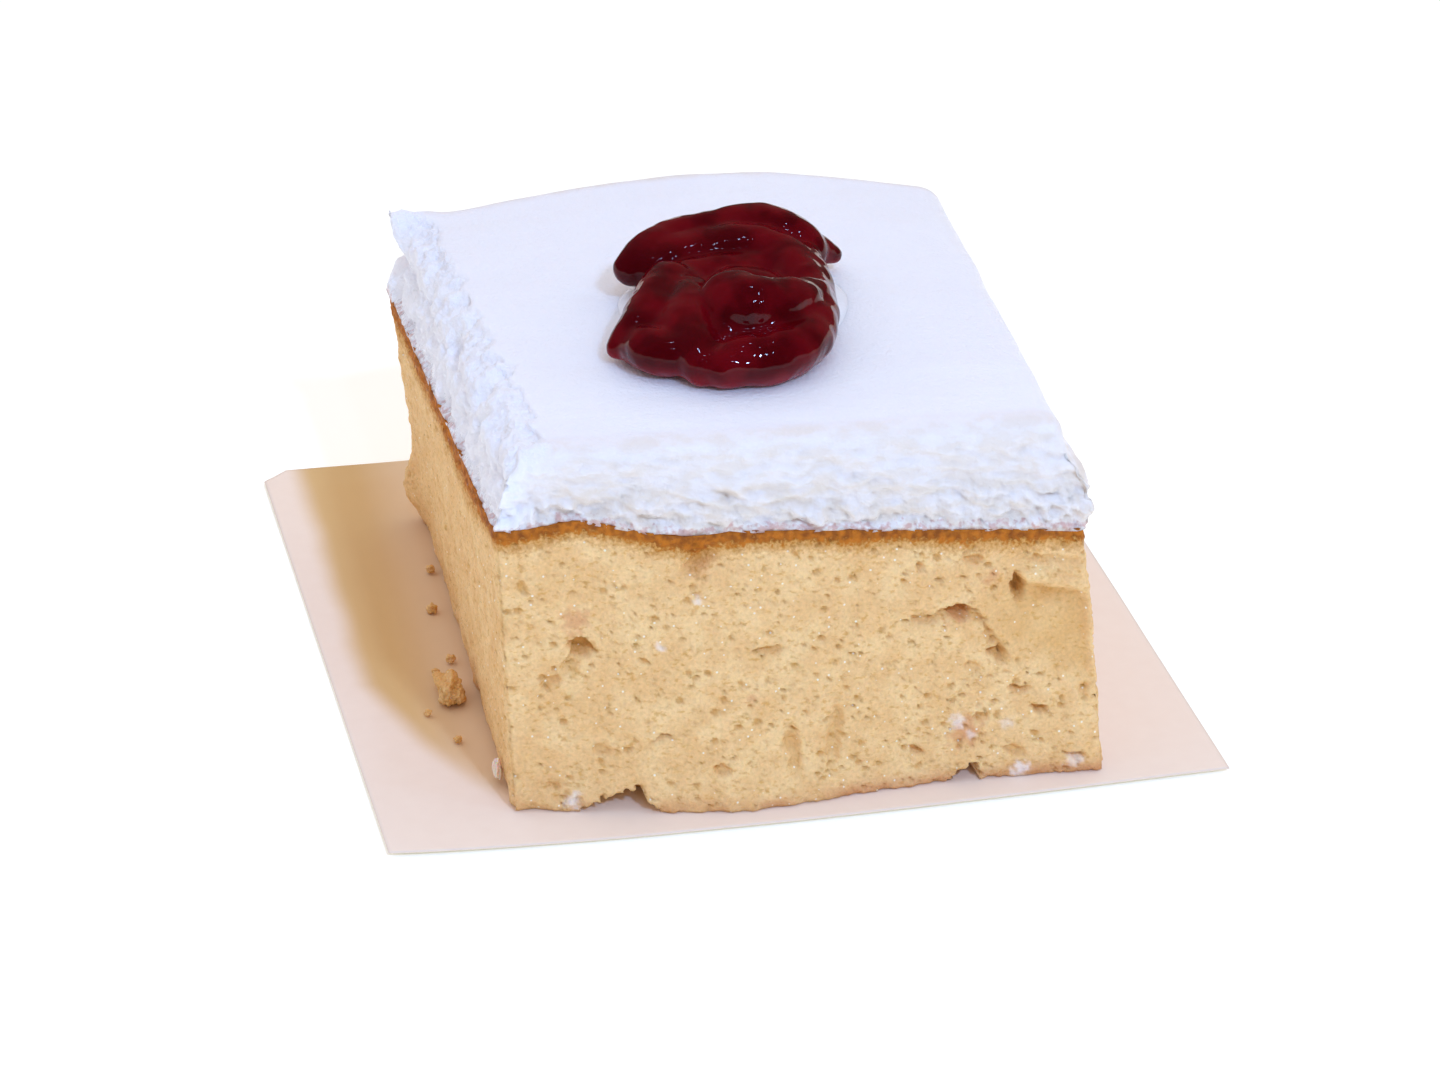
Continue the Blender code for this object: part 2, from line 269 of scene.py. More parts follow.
def close_rim(block, height):
    """Fills the open rim at one height of the unit block with one face."""
    select_in_edit(block, "edges", lambda edge: edge.is_boundary
                   and all(abs(vert.co.z - height) < 1e-4 for vert in edge.verts))
    bpy.ops.mesh.edge_face_add()


def shape_block(block, point):
    """Moves each vertex of the unit block to its real place."""
    bpy.ops.object.mode_set(mode="OBJECT")
    for vert in block.data.vertices:
        vert.co = metres(*point(*vert.co))


def store(obj, name, values):
    """Stores one value for each vertex, for the material."""
    layer = obj.data.attributes.new(name, "FLOAT", "POINT")
    layer.data.foreach_set("value", values)


def mark(obj, name, value):
    """Stores value(x, y, z) in millimetres at each vertex, for the material."""
    store(obj, name, [value(*(vert.co / MM)) for vert in obj.data.vertices])


def finish_piece(obj, name, material, node):
    """Names and shades the piece, puts it under the root body and hides the solid that it stands for."""
    obj.name = name
    obj.data.name = name
    only(obj)
    bpy.ops.object.mode_set(mode="EDIT")
    bpy.ops.mesh.select_all(action="SELECT")
    bpy.ops.mesh.normals_make_consistent(inside=False)
    bpy.ops.object.mode_set(mode="OBJECT")
    bpy.ops.object.shade_smooth()
    obj.data.materials.clear()
    obj.data.materials.append(material)
    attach(obj, "root")
    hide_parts(node)
    return obj


def apply_modifier(obj, kind, **settings):
    only(obj)
    modifier = obj.modifiers.new(kind.lower(), kind)
    for key, value in settings.items():
        setattr(modifier, key, value)
    bpy.ops.object.modifier_apply(modifier=modifier.name)


def new_material(name):
    """A material with its tree, its Principled shader and its Object coordinates."""
    material = bpy.data.materials.new(name)
    material.use_nodes = True
    tree = material.node_tree
    return material, tree, tree.nodes["Principled BSDF"], add_node(tree, "TexCoord", {}, "Object")


def set_node(node, values):
    """Sets a node's options and inputs. An input whose value is another node's output is linked to it."""
    for key, value in values.items():
        if isinstance(value, bpy.types.NodeSocket):
            node.id_data.links.new(value, node.inputs[key])
        elif isinstance(key, str) and hasattr(node, key):
            setattr(node, key, value)
        else:
            node.inputs[key].default_value = value


def add_node(tree, kind, values, output=0):
    """Adds a node with its settings and links, and gives one of its outputs."""
    node = tree.nodes.new("ShaderNode" + kind)
    set_node(node, values)
    return node.outputs[output]


# Sponge

def outward(u, v):
    """The level direction out of the block at a side or a corner of its plan."""
    x = (u > 1 - TINY) - (u < TINY)
    y = (v > 1 - TINY) - (v < TINY)
    length = math.hypot(x, y)
    return (x / length, y / length) if length else (0.0, 0.0)


def crust_height(x, y):
    """The browned top skin of the sponge, which dips and lifts along the front cut."""
    across = (x + 38.0) / 75.0
    back = (y + 49.0) / 84.0
    lift = 1.5 * bump(x, -27.5, 5.5)
    dip = 0.7 * bump(x, -15.0, 5.0)
    return bilinear(CRUST_HEIGHTS, across, back) + (lift - dip) * bump(y, -49.0, 12.0)


def sponge_surface(u, v, w):
    """A point of the sponge's plain outer form, before its crumb."""
    bottom = corner_point(SPONGE_BOTTOM, u, v)
    top = corner_point(SPONGE_TOP, u, v)
    x = mix(bottom[0], top[0], w)
    y = mix(bottom[1], top[1], w)
    y -= FRONT_SAG * bump(x, -8.0, 18.0) * (1 - v) ** 3 * (1 - w) ** 1.3
    y += BACK_BULGE * math.sin(math.pi * u) * v ** 3
    x -= 2.4 * (1 - u) ** 8 * bump(y, 34.0, 5.0) * bump(mix(SPONGE_BASE, 37.0, w), 6.0, 4.5)
    return x, y, mix(SPONGE_BASE, crust_height(x, y), w)


def ellipse_depth(x, z, centre, radii, turn, soft):
    """1 inside a turned ellipse on the front face, fading out past its rim."""
    angle = math.radians(turn)
    dx = x - centre[0]
    dz = z - centre[1]
    along = dx * math.cos(angle) - dz * math.sin(angle)
    across = dx * math.sin(angle) + dz * math.cos(angle)
    ring = math.hypot(along / radii[0], across / radii[1])
    return ease(ring, 1.0 + soft, 1.0 - soft)


# Hollows of the front face: centre (x, z), radii, turn in degrees, depth (bulging if negative), rim softness.
FRONT_HOLLOWS = (
    ((35.5, 21.0), (11.0, 5.6), 22.0, 1.1, 0.45),
    ((28.2, 27.0), (0.8, 1.7), -8.0, 2.6, 0.5),
    ((32.0, 25.9), (4.9, 0.9), 14.0, 0.7, 0.8),
    ((33.0, 28.2), (4.4, 1.5), 10.0, -0.8, 0.6),
    ((32.4, 28.9), (3.6, 0.4), 16.0, 0.5, 0.8),
    ((32.6, 30.5), (4.6, 0.5), 6.0, 0.6, 0.7),
    ((-27.3, 22.9), (1.4, 1.15), 35.0, 2.4, 0.3),
    ((-28.6, 20.9), (1.5, 0.8), -50.0, 1.0, 0.4),
    ((-31.2, 18.4), (1.5, 0.6), -30.0, 0.9, 0.5),
    ((-4.0, 21.4), (1.9, 0.55), -4.0, 0.9, 0.4),
    ((-0.9, 7.6), (0.9, 3.4), -9.0, 1.1, 0.7),
    ((4.5, 8.8), (0.8, 3.8), 5.0, 1.1, 0.7),
    ((31.7, 10.1), (1.15, 0.5), 8.0, 1.4, 0.3),
    ((28.9, 13.2), (1.3, 0.5), 6.0, 1.1, 0.4),
    ((24.0, 9.4), (0.9, 0.6), 20.0, 1.0, 0.4),
    ((15.6, 5.6), (1.0, 0.45), 30.0, 1.1, 0.3),
    ((37.4, 12.2), (0.6, 0.9), 0.0, 0.8, 0.5),
    ((36.9, 3.1), (1.0, 0.5), 0.0, 1.2, 0.4),
    ((28.6, 4.3), (1.4, 0.6), 25.0, 1.0, 0.5),
    ((20.4, 24.4), (1.3, 1.0), 0.0, 2.0, 0.3),
    ((25.8, 17.9), (1.6, 0.7), 28.0, 1.6, 0.4),
    ((22.8, 16.4), (0.9, 0.8), 0.0, 0.9, 0.5),
    ((-17.2, 10.6), (1.3, 0.4), -10.0, 0.9, 0.4),
    ((-10.0, 6.1), (0.9, 0.8), 0.0, 1.0, 0.4),
    ((-24.6, 8.9), (1.1, 0.7), 5.0, 0.8, 0.5),
    ((-31.0, 4.0), (0.9, 0.6), 0.0, 0.7, 0.5),
    ((-13.0, 33.4), (2.2, 0.9), -35.0, 1.1, 0.6),
    ((15.3, 31.0), (0.6, 0.5), 0.0, 0.9, 0.4),
    ((22.0, 31.4), (1.2, 0.5), 0.0, 0.9, 0.5),
)

# The torn flap at the upper right has next to no pores: centre (x, z), radii, turn and rim softness.
SMOOTH_FLAP = ((35.5, 20.0), (9.5, 5.0), 22.0, 0.3)

# Bites out of the front's foot: start, peak and end along X, height and depth.
FOOT_BITES = ((-27.4, -20.6, -18.2, 2.9, 6.0), (20.2, 23.0, 24.0, 2.3, 4.5))

# The crack at the upper right runs through these points (x, z) of the front face.
FRONT_CRACK = ((14.8, 23.6), (17.6, 23.9), (20.6, 25.0), (23.2, 23.4), (24.6, 20.6), (26.4, 18.2))


def crack_distance(x, z):
    nearest = 99.0
    for start, end in zip(FRONT_CRACK, FRONT_CRACK[1:]):
        run = Vector(end) - Vector(start)
        share = clamp((Vector((x, z)) - Vector(start)).dot(run) / run.length_squared)
        nearest = min(nearest, (Vector((x, z)) - Vector(start) - run * share).length)
    return nearest


def front_depth(x, z):
    """How far the front face is torn in at a place."""
    x += 0.5 * wander(x, 3.0, z, 1.3) + 0.3 * wander(x, 5.0, z, 0.6)
    z += 0.45 * wander(x, 9.0, z, 1.2) + 0.25 * wander(x, 7.0, z, 0.6)
    depth = sum(deep * ellipse_depth(x, z, centre, radii, turn, soft)
                for centre, radii, turn, deep, soft in FRONT_HOLLOWS)
    for start, peak, end, height, deep in FOOT_BITES:
        if start < x < end:
            roof = height * ((x - start) / (peak - start) if x < peak else (end - x) / (end - peak)) ** 0.7
            roof += 0.9 * wander(x, 0.0, z, 0.8) + 0.4 * wander(x, 4.0, z, 0.4)
            depth += deep * ease(z - SPONGE_BASE, roof + 0.15, roof - 0.15)
    width = 0.6 + 0.5 * wander(x, 0.0, z, 0.9)
    return depth + 1.0 * ease(crack_distance(x, z), width + 0.2, width - 0.5)


def pore_depth(x, y, z, spacing):
    """Pores of the crumb, flattened like the layers of a risen batter, from 0 to 1."""
    z += 0.35 * spacing * wander(x, y, z, spacing)
    near, points = noise.voronoi(Vector((x / spacing, y / spacing, z / (spacing * 0.65))))
    size = 0.36 * clamp(0.3 + 1.5 * noise.noise(points[0] * 3.1))
    return ease(near[0], size + 0.12, size - 0.1) if size > 0.04 else 0.0


def build_sponge(settings):
    block = unit_block("sponge_block", [(2, 0.0), (2, 1.0)])
    cut_cells(block, SPONGE_CELLS["rows"], 2)
    cut_cells(block, SPONGE_CELLS["front"], 0, 1, 0.0)
    cut_cells(block, SPONGE_CELLS["back"], 0, 1, 1.0)
    cut_cells(block, SPONGE_CELLS["left"], 1, 0, 0.0)
    cut_cells(block, SPONGE_CELLS["right"], 1, 0, 1.0)
    close_rim(block, 0.0)
    close_rim(block, 1.0)
    bpy.ops.mesh.select_all(action="SELECT")
    bpy.ops.mesh.normals_make_consistent(inside=False)
    spacing = settings.pore_size / MM
    deepest = settings.pore_depth / MM
    radius = settings.edge_round / MM
    pore_tints_and_shade = []

    def crumb_point(u, v, w):
        x, y, z = sponge_surface(u, v, w)
        at_side = u < TINY or u > 1 - TINY
        whole, share = (SPONGE_DEPTH, v) if at_side else (SPONGE_WIDTH, u)
        from_corner = whole * min(share, 1 - share)
        near_corner = clamp(1 - from_corner / radius)
        out_x, out_y = outward(u, v)
        round_in = 0.3 * radius * near_corner ** 2 * math.hypot(bool(out_x), bool(out_y))
        at_front = v < TINY
        smooth = 1 - 0.8 * at_front * ellipse_depth(x, z, *SMOOTH_FLAP)
        pores = pore_depth(x, y, z, spacing) * deepest * smooth
        fine = pore_depth(x + 7.0, y, z, spacing * 0.55) * deepest * 0.5 * smooth
        torn = front_depth(x, z) * ease(from_corner, 0.0, 1.6) if at_front else 0.0
        crumbs = 0.16 * wander(x, y, z, 1.1) + 0.12 * wander(x, y, z, 0.6)
        swell = 0.3 * wander(x, y, z, 6.0) + 0.15 * wander(x, y, z, 2.6) + crumbs * smooth
        skin = ease(w, 1.0, 0.96)
        crusty = ease(under_crust(x, y, z, settings.crust_thickness / MM), 1.4, 0.8)
        swell += crusty * (0.3 * wander(x, y, z, 0.8) + 0.25 * wander(x, y, z, 1.7))
        sunk = (pores + fine) * skin + torn + round_in - swell
        foot = 0.5 * ease(w, 0.03, 0.0)
        sunk += foot * (0.6 + wander(x, y, z, 1.6))
        # Painted shade: the whole left face, which the key light misses, is made darker and more amber
        # through the stored depth.
        left_face_painted_shade = 0.16 if u < TINY else 0.0
        # Darker, more amber crumb in pores and tears, stored for the material: the crumb's own tone there
        # with painted shade in the recesses.
        pore_tints_and_shade.append(clamp(1.5 * pores + 1.2 * fine + 0.35 * clamp(torn, 0.0, 2.6) + left_face_painted_shade))
        return x - out_x * sunk, y - out_y * sunk, z

    shape_block(block, crumb_point)
    store(block, "depth", pore_tints_and_shade)
    mark(block, "under_crust", lambda x, y, z: under_crust(x, y, z, settings.crust_thickness / MM))
    mark(block, "stain", stain_share)
    mark(block, "smear", smear_share)
    finish_piece(block, "sponge_block", sponge_material(settings), "sponge")


def under_crust(x, y, z, thickness):
    """Depth under the top skin, counted in thicknesses of the local crust."""
    left_side = ease(x, -34.0, -38.5) * ease(y, -46.0, -30.0)
    edge = thickness * (1.0 + 1.0 * left_side) + 0.4 * wander(x, y, z, 3.4)
    edge += 1.4 * bump(x, -12.8, 1.8) * bump(y, -49.0, 6.0)
    return (crust_height(x, y) - z) / max(edge, 0.4)


# Tinted patches of the front face, which lies before FRONT_ZONE: centre (x, z), radius and strength.
FRONT_ZONE = -44.0
FRONT_STAINS = (((-28.2, 26.6), 2.2, 0.9), ((20.6, 24.2), 1.8, 0.8), ((22.0, 7.6), 2.4, 1.0),
                ((-6.3, 15.2), 0.8, 0.8), ((24.5, 28.8), 1.3, 0.7), ((-12.5, 33.0), 2.0, 0.5))
FRONT_SMEARS = (((20.8, 9.2), 1.2, 0.8), ((22.6, 7.2), 0.8, 0.6), ((29.6, 1.6), 1.5, 1.0),
                ((-28.6, 1.9), 1.3, 0.9), ((27.4, 8.3), 1.0, 0.5), ((36.6, 2.4), 1.2, 0.6),
                ((-12.9, 28.6), 0.6, 0.8), ((-17.6, 22.6), 0.8, 0.7))


def patches(x, y, z, spots, grain):
    total = 0.0
    for (centre_x, centre_z), radius, strength in spots:
        reach = math.hypot(x - centre_x, z - centre_z) / radius
        if reach < 2.0:
            total += strength * ease(reach + 0.7 * wander(x, y, z, grain), 1.2, 0.3)
    return clamp(total) if y < FRONT_ZONE else 0.0


def stain_share(x, y, z):
    bottom = ease(z, 3.2, 0.8) * clamp(0.55 + 0.8 * wander(x, y, z, 4.0) + 0.012 * x)
    return clamp(patches(x, y, z, FRONT_STAINS, 0.9) + bottom)


def smear_share(x, y, z):
    return patches(x, y, z, FRONT_SMEARS, 0.7)


def sponge_material(settings):
    """Moist butter sponge: open matt crumb with tiny painted glints, amber inside its pores and tears with
    painted shade there, brown on top.
    """
    material, tree, shader, place = new_material("butter sponge crumb")
    stored = {name: add_node(tree, "Attribute", {"attribute_name": name}, "Fac")
              for name in ("depth", "stain", "under_crust", "smear")}
    grain, clouds, crumbs, browned, damp = (
        add_node(tree, "TexNoise", {"Vector": place, "Scale": per_metre(size), "Detail": detail})
        for size, detail in ((0.45, 3.0), (4.0, 4.0), (0.9, 3.0), (0.9, 4.0), (0.5, 2.0)))
    layers = add_node(tree, "Mapping", {"Vector": place, "Scale": (1.0, 1.0, 1.7)})
    bubbles = add_node(tree, "TexNoise", {"Vector": layers, "Scale": per_metre(0.9), "Detail": 2.0})
    pores = add_node(tree, "MapRange", {"Value": bubbles, "From Min": 0.57, "From Max": 0.72})
    # Painted highlights: tiny near-white dots in the colour stand for glints of light on the moist crumb.
    painted_glint_cells = add_node(tree, "TexVoronoi", {"Vector": place, "Scale": per_metre(1.5)}, "Distance")
    painted_glints = add_node(tree, "MapRange", {"Value": painted_glint_cells, "From Min": 0.12, "From Max": 0.07})
    paler = add_node(tree, "MapRange", {"Value": clouds, "From Min": 0.38, "From Max": 0.62})
    colour = add_node(tree, "Mix", {"data_type": "RGBA", 0: paler, 6: settings.crumb_deep[:],
                                    7: settings.crumb_light[:]}, 2)
    # Pores and tears take the pore colour, which carries painted shade in the recesses; stains add their
    # tint; the near-white dots are painted glints.
    for share, most, tint in ((pores, 0.5, settings.pore_colour[:]),
                              (stored["depth"], 0.7, settings.pore_colour[:]),
                              (stored["stain"], 0.55, linear_colour("#cf8356")),
                              (painted_glints, 0.8, linear_colour("#fff6e2"))):
        part = add_node(tree, "Math", {"operation": "MULTIPLY", 0: share, 1: most})
        colour = add_node(tree, "Mix", {"data_type": "RGBA", 0: part, 6: colour, 7: tint}, 2)

    both = add_node(tree, "Math", {"operation": "ADD", 0: crumbs, 1: grain})
    ragged = add_node(tree, "Math", {"operation": "MULTIPLY_ADD", 0: both, 1: 0.9, 2: -0.9})
    under = add_node(tree, "Math", {"operation": "ADD", 0: stored["under_crust"], 1: ragged})
    darker = add_node(tree, "MapRange", {"Value": browned, "From Min": 0.38, "From Max": 0.64})
    skin = add_node(tree, "Mix", {"data_type": "RGBA", 0: darker, 6: settings.crust_colour[:],
                                  7: linear_colour("#8e4b0b")}, 2)
    for outer, inner, tint in ((1.9, 0.9, linear_colour("#c98d3f")), (1.05, 0.7, skin)):
        share = add_node(tree, "MapRange", {"Value": under, "From Min": outer, "From Max": inner})
        colour = add_node(tree, "Mix", {"data_type": "RGBA", 0: share, 6: colour, 7: tint}, 2)
    share = add_node(tree, "Math", {"operation": "MULTIPLY", 0: stored["smear"], 1: 0.75})
    colour = add_node(tree, "Mix", {"data_type": "RGBA", 0: share, 6: colour, 7: linear_colour("#fbf1ec")}, 2)

    mottle = add_node(tree, "MapRange", {"Value": grain, "From Min": 0.3, "From Max": 0.7,
                                         "To Min": 0.9, "To Max": 1.06})
    toned = add_node(tree, "VectorMath", {"operation": "SCALE", 0: colour, "Scale": mottle})
    wet = add_node(tree, "MapRange", {"Value": damp, "From Min": 0.64, "From Max": 0.68,
                                      "To Min": 0.75, "To Max": 0.15})
    sunk = add_node(tree, "Math", {"operation": "MULTIPLY", 0: pores, 1: 0.2})
    relief = add_node(tree, "Math", {"operation": "SUBTRACT", 0: grain, 1: sunk})
    rough = add_node(tree, "Bump", {"Strength": 0.6, "Distance": 0.3 * MM, "Height": relief})
    set_node(shader, {"Base Color": toned, "Roughness": wet, "Normal": rough, "Specular IOR Level": 0.3,
                      "Subsurface Weight": 0.2, "Subsurface Radius": (1.0, 0.6, 0.25),
                      "Subsurface Scale": 1.2 * MM})
    return material


# Cream

def cream_surface(u, v):
    """Height of the cream's top before its edges turn down."""
    swell = math.sin(math.pi * u ** 1.25) * (1 - (1 - v) ** 1.35)
    return bilinear(CREAM_HEIGHTS, u, v) + CREAM_DOME * swell


def cream_top_at(x, y):
    """Height of the cream's top under a point away from its edges."""
    v = (y - CREAM_FRONT) / CREAM_DEPTH
    left = mix(CREAM_TOP[0][0], CREAM_TOP[3][0], v)
    right = mix(CREAM_TOP[1][0], CREAM_TOP[2][0], v)
    return cream_surface(clamp((x - left) / (right - left)), clamp(v))


def turn_down(distance, radius):
    """How far a rounded edge drops at a distance in from the side."""
    if distance >= radius:
        return 0.0
    return radius - math.sqrt(radius ** 2 - (radius - distance) ** 2)


def horn_reach(v, w):
    """At the back left corner a thin horn stands out on top, with a bite and a lip under it."""
    at_corner = bump(v, 1.0, 0.06)
    return at_corner * (2.0 * bump(w, 1.0, 0.2) - 2.6 * bump(w, 0.6, 0.22) + 0.4 * bump(w, 0.15, 0.2))


def billow(x, y, z, size, seed=0.0):
    """Puffy heaps from 0 in the creases to about 1, in three sizes."""
    return (abs(wander(x, y, z, size, seed)) + 0.5 * abs(wander(x, y, z, size * 0.47, seed + 4.0))
            + 0.25 * abs(wander(x, y, z, size * 0.22, seed + 9.0))) * 1.1


def broken_zone(x, y, z, u):
    """1 on the broken left side, whose inner border wanders over the top."""
    width = 3.8 + 1.6 * ease(y, 10.0, -40.0) + 1.3 * wander(0.0, y, 0.0, 5.0) + 0.9 * wander(x, y, z, 1.6)
    return ease(u * CREAM_WIDTH, width + 0.9, width - 0.9)


# Pits of the broken left side: centre (y, z), radii and depth.
LEFT_PITS = (((-5.5, 46.5), (3.4, 2.2), 2.2), ((-9.6, 46.0), (2.0, 1.6), 1.4),
             ((-25.0, 47.0), (2.0, 1.6), 2.0), ((-30.0, 44.5), (1.6, 2.2), 1.0),
             ((12.0, 45.5), (3.0, 1.8), 1.1), ((22.0, 44.0), (2.4, 1.6), 0.9))


def cut_relief(x, y, z, high):
    """Drawn-out streaks of a knife cut, rougher and more torn towards the foot."""
    warp = 1.4 * wander(x, y, z, 5.0)
    along = x + y
    streaks = (0.8 * wander(along / 3.5, 0.0, z + warp + 0.12 * along, 1.6)
               + 0.5 * wander(along / 2.2, 3.0, z + warp + 0.2 * along, 0.8))
    torn = 0.9 * billow(x, y, z, 2.4) - 0.45
    fine = 0.3 * wander(x, y, z, 0.7) + 0.25 * wander(x, y, z, 1.4)
    low = ease(high + 0.25 * wander(x, y, z, 6.0), 0.75, 0.15)
    return (0.55 + 0.45 * low) * streaks + low * torn + (0.35 + 0.65 * low) * fine


def build_cream(settings):
    block = unit_block("cream_spread", [(2, 0.0)])
    for axis, factors in enumerate(CREAM_CELLS):
        cut_cells(block, factors, axis)
    close_rim(block, 0.0)
    streak = settings.streak_depth / MM
    crumble = settings.crumble_depth / MM
    width = CREAM_TOP[1][0] - CREAM_TOP[0][0]
    depth = CREAM_TOP[3][1] - CREAM_TOP[0][1]
    feet = []
    cut_tone_and_shade = []
    crumbled = []

    def spread_point(u, v, w):
        u = mix(u, 0.5 - 0.5 * math.cos(math.pi * u), 0.5)
        v = mix(v, 0.5 - 0.5 * math.cos(math.pi * v), 0.2)
        bottom = corner_point(SPONGE_TOP, u, v)
        top = corner_point(CREAM_TOP, u, v)
        out_x, out_y = outward(u, v)
        x = mix(bottom[0], top[0], w)
        y = mix(bottom[1], top[1], w) + BACK_BULGE * math.sin(math.pi * u) * v ** 3
        edge = CREAM_EDGE_ROUND * (1.0 + 0.3 * wander(x, y, 0.0, 9.0))
        drop = turn_down(u * width, CREAM_LEFT_ROUND)
        drop += turn_down((1 - u) * width, edge)
        drop += turn_down(min(v, 1 - v) * depth, edge)
        left = clamp((0.1 - u) / 0.1)
        surface = cream_surface(u, v) - 0.8 * min(drop, CREAM_LEFT_ROUND)
        horn = left ** 2 * bump(v, 1.0, 0.035)
        surface += (HORN_LIFT + 0.8) * horn
        foot = (crust_height(x, y) + 0.15 - 0.45 * ease(wander(x, y, 0.0, 2.6), -0.3, 0.6)
                + 0.3 * wander(x, y, 3.0, 1.0) + 0.15 * wander(x, y, 3.0, 0.5))
        z = mix(foot, surface, w)
        belly = math.sin(math.pi * min(1.0, w * 1.15)) if w > 0.001 else 0.0
        x += CREAM_SIDE_BULGE * belly * clamp((u - 0.9) / 0.1) ** 2
        x -= left * horn_reach(v, w)
        broken = broken_zone(x, y, z, u) * (1 - 0.7 * horn) * ease(v * depth, 0.0, 1.6)
        side = 1.0 if (out_x or out_y) else 0.0
        low = ease(w, 0.0, 0.1)
        rough = side * (1 - broken) * streak * (cut_relief(x, y, z, w) - 0.25)
        hollow = (0.5 - 0.9 * wander(x, y, z, 3.4) - 0.6 * wander(x, y, z, 1.6)
                  - 0.35 * wander(x, y, z, 0.8) - 0.15 * wander(x, y, z, 0.45))
        for (pit_y, pit_z), (reach_y, reach_z), deep in LEFT_PITS:
            hollow += deep * bump(y, pit_y, reach_y) * bump(z, pit_z, reach_z) / crumble
        sunk = broken * crumble * (max(hollow, -0.3) if w > 0.9 else hollow)
        bulge = (u > 1 - TINY) * 0.8 * wander(x, y, z, 3.6)
        x += out_x * min(rough + bulge, 0.2) * low + sunk * 0.8 * low
        y += out_y * rough * low
        z -= 0.7 * sunk * ease(w, 0.5, 1.0)
        if w > 0.999:
            calm = 1 - ease(math.hypot(x - CALM_CENTRE[0], y - CALM_CENTRE[1]), *CALM_RIM)
            z += (0.14 * wander(x / 3.0, y, 0.0, 7.0) + 0.05 * wander(x / 3.0, y, 1.0, 1.6)) * (1 - calm)
        feet.append(side * ease(w, 0.3, 0.0))
        # Cut faces and the rounded edges of the top get a warm grey tint: the cut's streaked tone with
        # painted shade that keeps them darker than the top.
        rim = ease(min(v, 1 - v) * depth, 4.5, 1.5)
        cut_tone_and_shade.append((1 - broken) * ease(u, 0.0, 0.1) * max(side * ease(w, 1.0, 0.5), 0.8 * rim))
        crumbled.append(broken)
        return x, y, z

    shape_block(block, spread_point)
    store(block, "foot", feet)
    store(block, "cut", cut_tone_and_shade)
    store(block, "crumbled", crumbled)
    finish_piece(block, "cream_spread", cream_material("whipped cream", settings, 0.42, 1.0),
                 "cream_layer")


def build_dollop(settings):
    """A low round cushion of wetter cream with a soft rim."""
    deselect_all()
    bpy.ops.mesh.primitive_uv_sphere_add(segments=120, ring_count=48, radius=1.0)
    ball = bpy.context.object
    height = settings.dollop_height / MM
    for vert in ball.data.vertices:
        spoke = math.atan2(vert.co.y, vert.co.x)
        wobble = 1.0 + 0.03 * math.sin(2 * spoke + 0.6) + 0.02 * math.sin(5 * spoke)
        x = DOLLOP_CENTRE[0] + vert.co.x * DOLLOP_RADIUS * wobble
        y = DOLLOP_CENTRE[1] + vert.co.y * DOLLOP_RADIUS * wobble
        z = DOLLOP_FOOT + vert.co.z * height + 0.12 * wander(x, y, 0.0, 3.0)
        vert.co = metres(x, y, max(z, cream_top_at(x, y) - 0.3))
    finish_piece(ball, "cream_cushion", cream_material("soft wet cream", settings, 0.25, 0.3),
                 "cream_dollop")


def cream_material(name, settings, roughness, grain_strength):
    """Whipped cream: a soft white body that light enters, a satin skin, wetter and rosier by the crust."""
    material, tree, shader, place = new_material(name)
    foot, cut, crumbled = (add_node(tree, "Attribute", {"attribute_name": stored}, "Fac")
                           for stored in ("foot", "cut", "crumbled"))
    clouds, specks, beads, pebbles = (
        add_node(tree, "TexNoise", {"Vector": place, "Scale": per_metre(size), "Detail": detail})
        for size, detail in ((9.0, 3.0), (0.9, 3.0), (0.8, 2.0), (0.55, 3.0)))
    plain = add_node(tree, "Mix", {"data_type": "RGBA", 0: clouds, 6: settings.cream_colour[:],
                                   7: linear_colour("#f1f0f8")}, 2)
    # Painted shade with the cut's own streaks: the cut faces are tinted warm grey in streaks.
    drawn = add_node(tree, "Mapping", {"Vector": place, "Rotation": (0.0, -0.12, 0.0),
                                       "Scale": (1.0, 1.0, 2.4)})
    streaks = add_node(tree, "TexNoise", {"Vector": drawn, "Scale": per_metre(3.2), "Detail": 4.0})
    streaked = add_node(tree, "MapRange", {"Value": streaks, "From Min": 0.4, "From Max": 0.58,
                                           "To Min": 0.6, "To Max": 1.0})
    share = add_node(tree, "Math", {"operation": "MULTIPLY", 0: cut, 1: streaked})
    torn = add_node(tree, "Mix", {"data_type": "RGBA", 0: share, 6: plain, 7: linear_colour("#e8ddd2")}, 2)

    ragged = add_node(tree, "Math", {"operation": "MULTIPLY_ADD", 0: specks, 1: 1.6, 2: -0.8})
    fringe = add_node(tree, "Math", {"operation": "ADD", 0: foot, 1: ragged})
    near = add_node(tree, "MapRange", {"Value": fringe, "From Min": 0.82, "From Max": 1.1, "To Max": 0.65})
    rosy = add_node(tree, "Mix", {"data_type": "RGBA", 0: near, 6: torn, 7: linear_colour("#c9928a")}, 2)

    beaded = add_node(tree, "MapRange", {"Value": beads, "From Min": 0.5, "From Max": 0.6})
    weeping = add_node(tree, "Math", {"operation": "MULTIPLY", 0: foot, 1: beaded})
    wet = add_node(tree, "MapRange", {"Value": weeping, "From Max": 0.3, "To Min": roughness, "To Max": 0.12})
    coarser = add_node(tree, "MapRange", {"Value": crumbled, "To Min": 1.0, "To Max": 2.5})
    height = add_node(tree, "Math", {"operation": "MULTIPLY", 0: pebbles, 1: coarser})
    rough = add_node(tree, "Bump", {"Strength": 0.6 * grain_strength, "Distance": 0.3 * MM, "Height": height})
    set_node(shader, {"Base Color": rosy, "Roughness": wet, "Normal": rough, "IOR": 1.45,
                      "Subsurface Weight": 0.5, "Subsurface Radius": (1.0, 0.9, 0.85),
                      "Subsurface Scale": 1.3 * MM})
    return material


